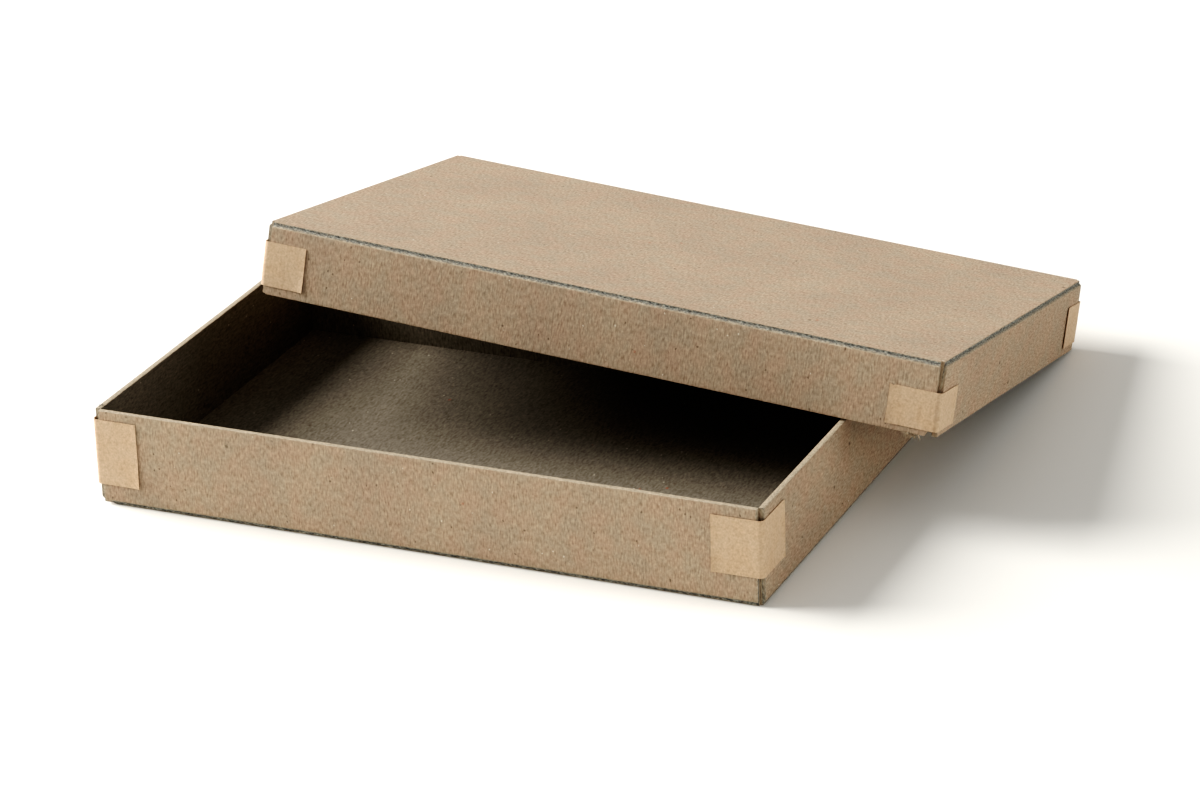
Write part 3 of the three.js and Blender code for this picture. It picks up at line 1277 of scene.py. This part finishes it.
@dataclass(frozen=True)
class Camera:
    """The photograph's viewpoint.

    Attributes:
        lens: The focal length in millimetres on a sensor 36 mm wide.
        azimuth: The angle round from the front, to the right, in degrees.
        elevation: The angle above the table, in degrees.
        roll: The camera's tilt in its own picture, in degrees.
        aside: How far the picture's middle lies to the right of the origin.
        above: How far it lies above the origin.
        distance: How far away the camera stands.
    """

    lens: float = 138.0516
    azimuth: float = 24.05982
    elevation: float = 23.34534
    roll: float = -1.89897
    aside: float = 18.781 * MM
    above: float = 14.393 * MM
    distance: float = 1099.52 * MM

    def build(self) -> bpy.types.Object:
        """Set up the camera.

        Returns:
            The camera.
        """
        turn, rise = math.radians(self.azimuth), math.radians(self.elevation)
        roll = math.radians(self.roll)
        back = Vector((math.sin(turn) * math.cos(rise), -math.cos(turn) * math.cos(rise),
                       math.sin(rise)))
        level = Vector((math.cos(turn), math.sin(turn), 0.0))
        upright = back.cross(level)
        right = level * math.cos(roll) + upright * math.sin(roll)
        up = upright * math.cos(roll) - level * math.sin(roll)
        data = bpy.data.cameras.new("photo_camera")
        data.lens, data.sensor_width = self.lens, 36.0
        data.clip_start, data.clip_end = 0.05, 60.0
        camera = bpy.data.objects.new("photo_camera", data)
        bpy.context.scene.collection.objects.link(camera)
        place = Matrix((right, up, back)).transposed().to_4x4()
        place.translation = right * self.aside + up * self.above + back * self.distance
        camera.matrix_world = place
        bpy.context.scene.camera = camera
        return camera


@dataclass(frozen=True)
class SoftLight:
    """A square soft light aimed at the box.

    Attributes:
        name: The light's name.
        power: Its power in watts.
        size: Its size.
        stands: Where it stands.
        aimed: What it is aimed at.
        colour: Its colour.
    """

    name: str
    power: float
    size: float
    stands: tuple[float, float, float]
    aimed: tuple[float, float, float] = (0.0, 0.0, 0.02)
    colour: Colour = (1.0, 0.99, 0.97)

    def build(self) -> None:
        """Set up the light."""
        data = bpy.data.lights.new(self.name, "AREA")
        data.energy, data.size, data.color = self.power, self.size, self.colour
        light = bpy.data.objects.new(self.name, data)
        light.location = self.stands
        aim = Vector(self.aimed) - Vector(self.stands)
        light.rotation_euler = aim.to_track_quat("-Z", "Y").to_euler()
        bpy.context.scene.collection.objects.link(light)


@dataclass(frozen=True)
class Studio:
    """A white table under soft light that comes mostly from the left.

    Attributes:
        table_size: The table's size.
        table_colour: The table's colour.
        sky: The colour of the light from all round.
        sky_strength: Its strength.
        key: The large soft light on the left.
        fill: The weak light low on the right.
        tones: The picture's tone curve, from a tone in the scene to one in the picture.
    """

    table_size: float = 24.0
    table_colour: Colour = (0.90, 0.885, 0.84)
    sky: Colour = (1.0, 1.0, 0.985)
    sky_strength: float = 0.42
    key: SoftLight = SoftLight("soft_key", 83.0, 1.3, (-1.72, -0.19, 1.26))
    fill: SoftLight = SoftLight("low_fill", 7.2, 0.9, (1.8, 0.45, 0.44))
    tones: tuple[tuple[float, float], ...] = (
        (0.0, 0.0), (0.03, 0.005), (0.08, 0.040), (0.14, 0.115), (0.22, 0.225), (0.36, 0.40),
        (0.58, 0.62), (1.0, 0.99))

    def table(self) -> bpy.types.Object:
        """Lay the table just under the tray.

        Returns:
            The table.
        """
        half = self.table_size / 2
        mesh = bpy.data.meshes.new("table")
        mesh.from_pydata([(-half, -half, 0), (half, -half, 0), (half, half, 0), (-half, half, 0)],
                         [], [(0, 1, 2, 3)])
        wiring = Wiring("white_table")
        wiring.surface(self.table_colour, 0.9, 0.1)
        mesh.materials.append(wiring.material)
        table = bpy.data.objects.new("table", mesh)
        table.location.z = -0.05 * MM
        bpy.context.scene.collection.objects.link(table)
        return table

    def lights(self) -> None:
        """Light the world evenly and add the soft lights."""
        world = bpy.data.worlds.new("studio")
        bpy.context.scene.world = world
        world.use_nodes = True
        background = world.node_tree.nodes["Background"]
        background.inputs["Color"].default_value = (*self.sky, 1.0)
        background.inputs["Strength"].default_value = self.sky_strength
        self.key.build()
        self.fill.build()

    def build(self) -> None:
        """Set up the table, the lights and the picture's tones."""
        self.table()
        self.lights()
        view = bpy.context.scene.view_settings
        view.view_transform = "Standard"
        view.look = "None"
        view.use_curve_mapping = True
        curve = view.curve_mapping.curves[3]
        for at, (tone, shown) in enumerate(self.tones):
            if at in (0, 1):
                curve.points[at].location = (tone, shown)
            else:
                curve.points.new(tone, shown)
        view.curve_mapping.update()


# Everything together

TRAY_STAYS = {
    Corner.FRONT_LEFT: StayCut(
        11.2 * MM, 11.4 * MM, 5.2 * MM, 16.4 * MM,
        nicks=(Nick(-2.6 * MM, 0.35 * MM, 0.16 * MM), Nick(-5.9 * MM, 0.30 * MM, 0.12 * MM))),
    Corner.FRONT_RIGHT: StayCut(12.3 * MM, 12.6 * MM, 7.2 * MM, 14.0 * MM),
    Corner.BACK_LEFT: StayCut(11.6 * MM, 11.8 * MM, 6.0 * MM, 15.0 * MM, 0.020),
    Corner.BACK_RIGHT: StayCut(11.9 * MM, 11.5 * MM, 5.6 * MM, 15.6 * MM, -0.015),
}
LID_STAYS = {
    Corner.FRONT_LEFT: StayCut(11.0 * MM, 11.9 * MM, 2.2 * MM, 10.8 * MM),
    Corner.FRONT_RIGHT: StayCut(12.3 * MM, 11.6 * MM, 1.4 * MM, 9.2 * MM,
                                nicks=(Nick(-11.2 * MM, 0.45 * MM, 0.20 * MM),)),
    Corner.BACK_LEFT: StayCut(11.4 * MM, 11.8 * MM, 2.6 * MM, 10.0 * MM, -0.018),
    Corner.BACK_RIGHT: StayCut(11.7 * MM, 11.3 * MM, 2.0 * MM, 10.4 * MM, 0.014),
}


def add_stays(half: BoardHalf, stays: dict[Corner, StayCut], paper: bpy.types.Material) -> None:
    """Paste the four stays of a half.

    Args:
        half: The half that they hold.
        stays: How each stay was cut and set.
        paper: Their material.
    """
    for number, (corner, size) in enumerate(stays.items()):
        CornerStay(half, corner, size, paper, half.seed * 10 + number).build()


def main() -> None:
    """Build the studio and every piece of the box."""
    logging.basicConfig(level=logging.INFO, format="%(name)s: %(message)s")
    Camera().build()
    Studio().build()
    stock = BoardStock()
    board = ChipboardFinish().material()
    paper = KraftFinish().material()
    # The tray's dark end mark is partly painted shade of the gaps in its corner notches.
    tray = BoardHalf(
        "tray", Stance.PANEL_DOWN, stock, board, seed=3,
        losses=(CornerLoss(Side.FRONT, -1, Loss.CLIPPED_AT_FOLD, 2.6 * MM, 1.35 * MM),),
        burrs=(Burr(Side.LEFT, 52.4 * MM, 23.65 * MM, 0.6 * MM, 0.3 * MM, 0.8 * MM, 0.2 * MM, 16,
                    1.0),),
        end_core_and_shade=0.68)
    tray.build()
    add_stays(tray, TRAY_STAYS, paper)
    lid = BoardHalf(
        "lid", Stance.PANEL_UP, stock, board, seed=4,
        losses=(CornerLoss(Side.FRONT, 1, Loss.TORN_AT_RIM, 1.4 * MM, 2.6 * MM),),
        burrs=(Burr(Side.FRONT, 79.6 * MM, 17.5 * MM, 0.5 * MM, 0.7 * MM, 2.2 * MM, 0.34 * MM, 48,
                    0.36),))
    lid.build()
    add_stays(lid, LID_STAYS, paper)


if __name__ == "__main__":
    main()
